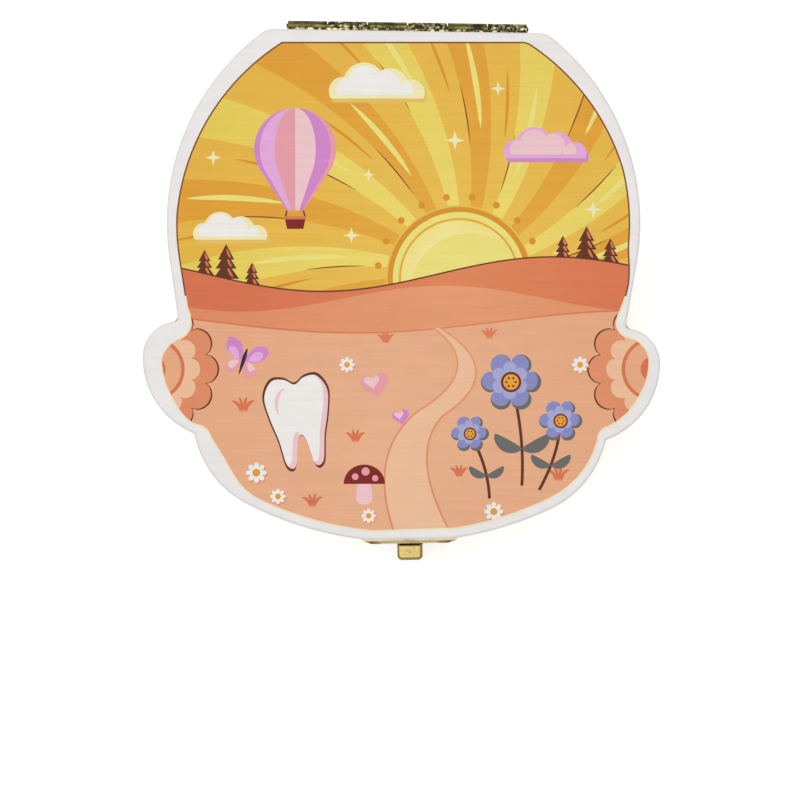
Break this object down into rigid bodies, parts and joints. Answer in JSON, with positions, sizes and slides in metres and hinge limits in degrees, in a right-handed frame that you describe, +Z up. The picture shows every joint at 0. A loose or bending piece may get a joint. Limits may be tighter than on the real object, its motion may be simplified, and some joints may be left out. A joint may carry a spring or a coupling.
{
  "type": "tooth keepsake box",
  "caption": "Flat wooden keepsake box with a rounded two-lobed outline, milled tooth sockets and wells, a printed lid on a long hinge and a sprung lever latch.",
  "frame": {"origin": "on the underside, under the middle of the outline", "axes": "+Z up through the lid, +Y towards the hinge, -Y towards the latch, +X to the right"},
  "size_m": [0.12, 0.1256, 0.0302],
  "materials": {
    "base_wood": "sanded, clear matt oil",
    "lid_wood": "sanded sides, white-primed and printed face",
    "hinge_brass": "worn, tarnished brass",
    "latch_brass": "bright brass plate",
    "nail_brass": "bright domed nails",
    "spring_bronze": "rolled spring strip"
  },
  "bodies": {
    "base": {"base_block": "base_wood", "hinge_leaf_base": "hinge_brass", "hinge_pin": "hinge_brass", "hinge_nails_base": "nail_brass", "latch_base_plate": "latch_brass", "latch_pivot_pin": "latch_brass", "latch_spring": "spring_bronze", "latch_nails_base": "nail_brass"},
    "lid": {"lid_block": "lid_wood", "hinge_leaf_lid": "hinge_brass", "hinge_nails_lid": "nail_brass", "latch_strike_plate": "latch_brass", "latch_nails_lid": "nail_brass"},
    "lever": {"latch_lever": "latch_brass"}
  },
  "joints": [
    {"name": "lid_hinge", "type": "hinge", "parent": "base", "child": "lid", "pos_m": [0.0002, 0.06052, 0.0181], "axis": [-1, 0, 0], "range_deg": [0, 180]},
    {"name": "latch_lever_pivot", "type": "hinge", "parent": "base", "child": "lever", "pos_m": [0.0027, -0.06125, 0.011], "axis": [0.9995, 0.0332, 0], "range_deg": [0, 20], "stiffness_Nm_per_rad": 0.02, "springref_deg": -17.19, "deforming": ["latch_spring"]}
  ]
}
